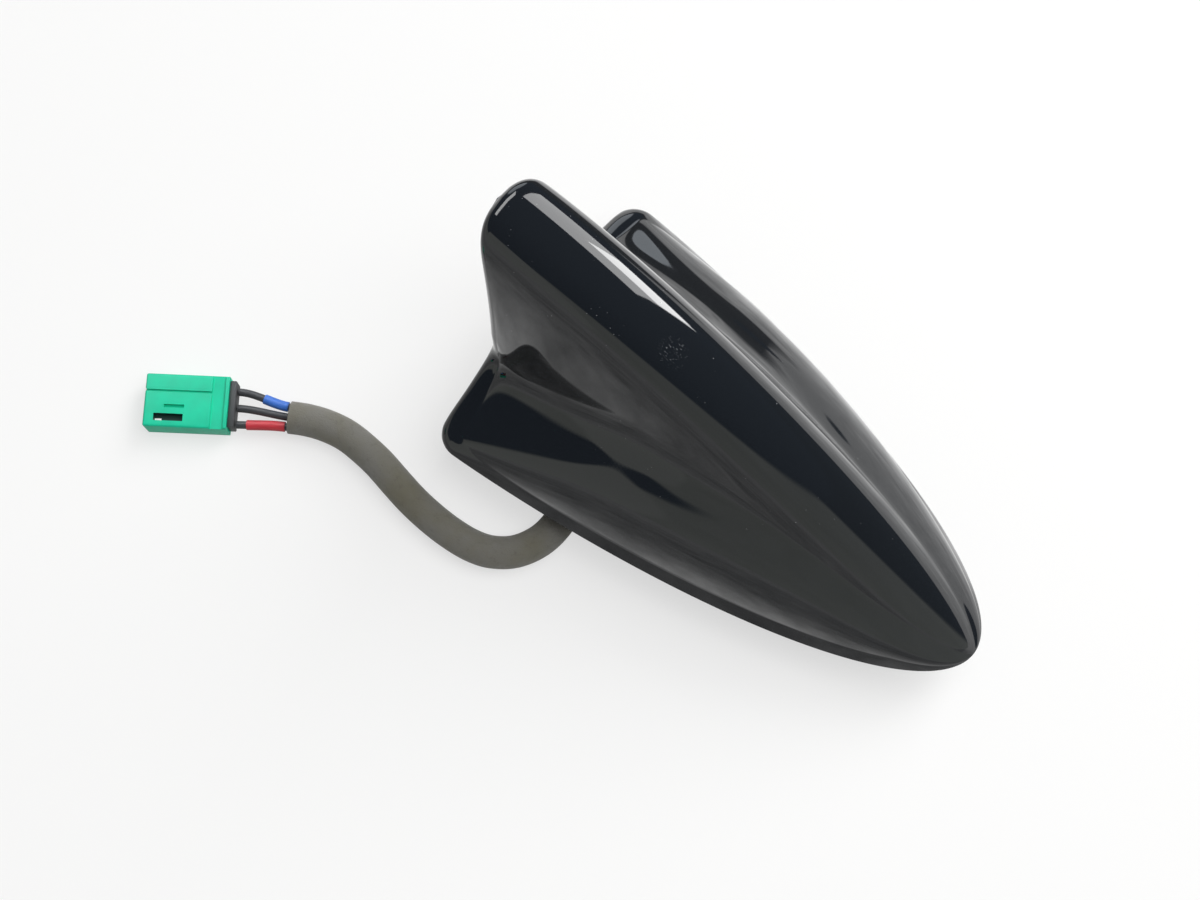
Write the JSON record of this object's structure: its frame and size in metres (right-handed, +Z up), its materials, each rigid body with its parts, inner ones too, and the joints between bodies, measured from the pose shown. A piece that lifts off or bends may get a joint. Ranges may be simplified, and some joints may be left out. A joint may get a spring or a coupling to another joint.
{
  "type": "shark fin aerial",
  "caption": "Shark fin roof aerial: gloss moulded cover over a die-cast foot with a mounting block, and a short padded lead whose thin wires end in a flat green plug.",
  "frame": {"origin": "on the axis of the fixing bolt's hole, in the plane where the foot's seal meets the roof", "axes": "+X to the nose of the fin, +Y to its left side, +Z up from the roof"},
  "size_m": [0.1976, 0.1176, 0.077],
  "materials": {
    "cover_gloss": "piano-black gloss paint with fine dust and a few scuffs",
    "seal_rubber": "dull moulded rubber",
    "die_cast": "bare die-cast metal, satin",
    "screw_steel": "zinc-plated",
    "board_green": "green circuit board with solder mask",
    "patch_ceramic": "pale fired ceramic, silvered on top",
    "tin_plate": "tinned sheet, satin",
    "chip_black": "moulded epoxy",
    "former_plastic": "natural moulded plastic",
    "copper_wire": "enamelled copper wire",
    "grommet_rubber": "dull moulded rubber",
    "sleeve_foam": "dull grey-brown padded sleeving",
    "coax_jacket": "dark grey flexible jacket, satin",
    "marker_blue": "blue heat-shrink",
    "marker_red": "red heat-shrink",
    "plug_green": "green moulded plastic, satin",
    "retainer_grey": "dark grey moulded plastic",
    "terminal_brass": "plated brass"
  },
  "bodies": {
    "root": {"fin_cover": "cover_gloss", "rim_seal": "seal_rubber", "base_plate": "die_cast", "inner_seal": "seal_rubber", "cover_screws": "screw_steel", "main_board": "board_green", "board_screws": "screw_steel", "front_patch": "patch_ceramic", "rear_patch": "patch_ceramic", "feed_pins": "tin_plate", "shield_can": "tin_plate", "amplifier_chips": "chip_black", "fin_board": "board_green", "fin_brackets": "tin_plate", "top_plate": "tin_plate", "coil_former": "former_plastic", "loading_coil": "copper_wire", "inner_leads": "coax_jacket", "lead_clamps": "tin_plate", "cable_grommet": "grommet_rubber", "cable_sleeve": "sleeve_foam", "navigation_coax": "coax_jacket", "radio_coax": "coax_jacket", "satellite_coax": "coax_jacket", "blue_marker": "marker_blue", "red_marker": "marker_red", "plug_housing": "plug_green", "plug_retainer": "retainer_grey", "plug_terminals": "terminal_brass"}
  },
  "joints": []
}
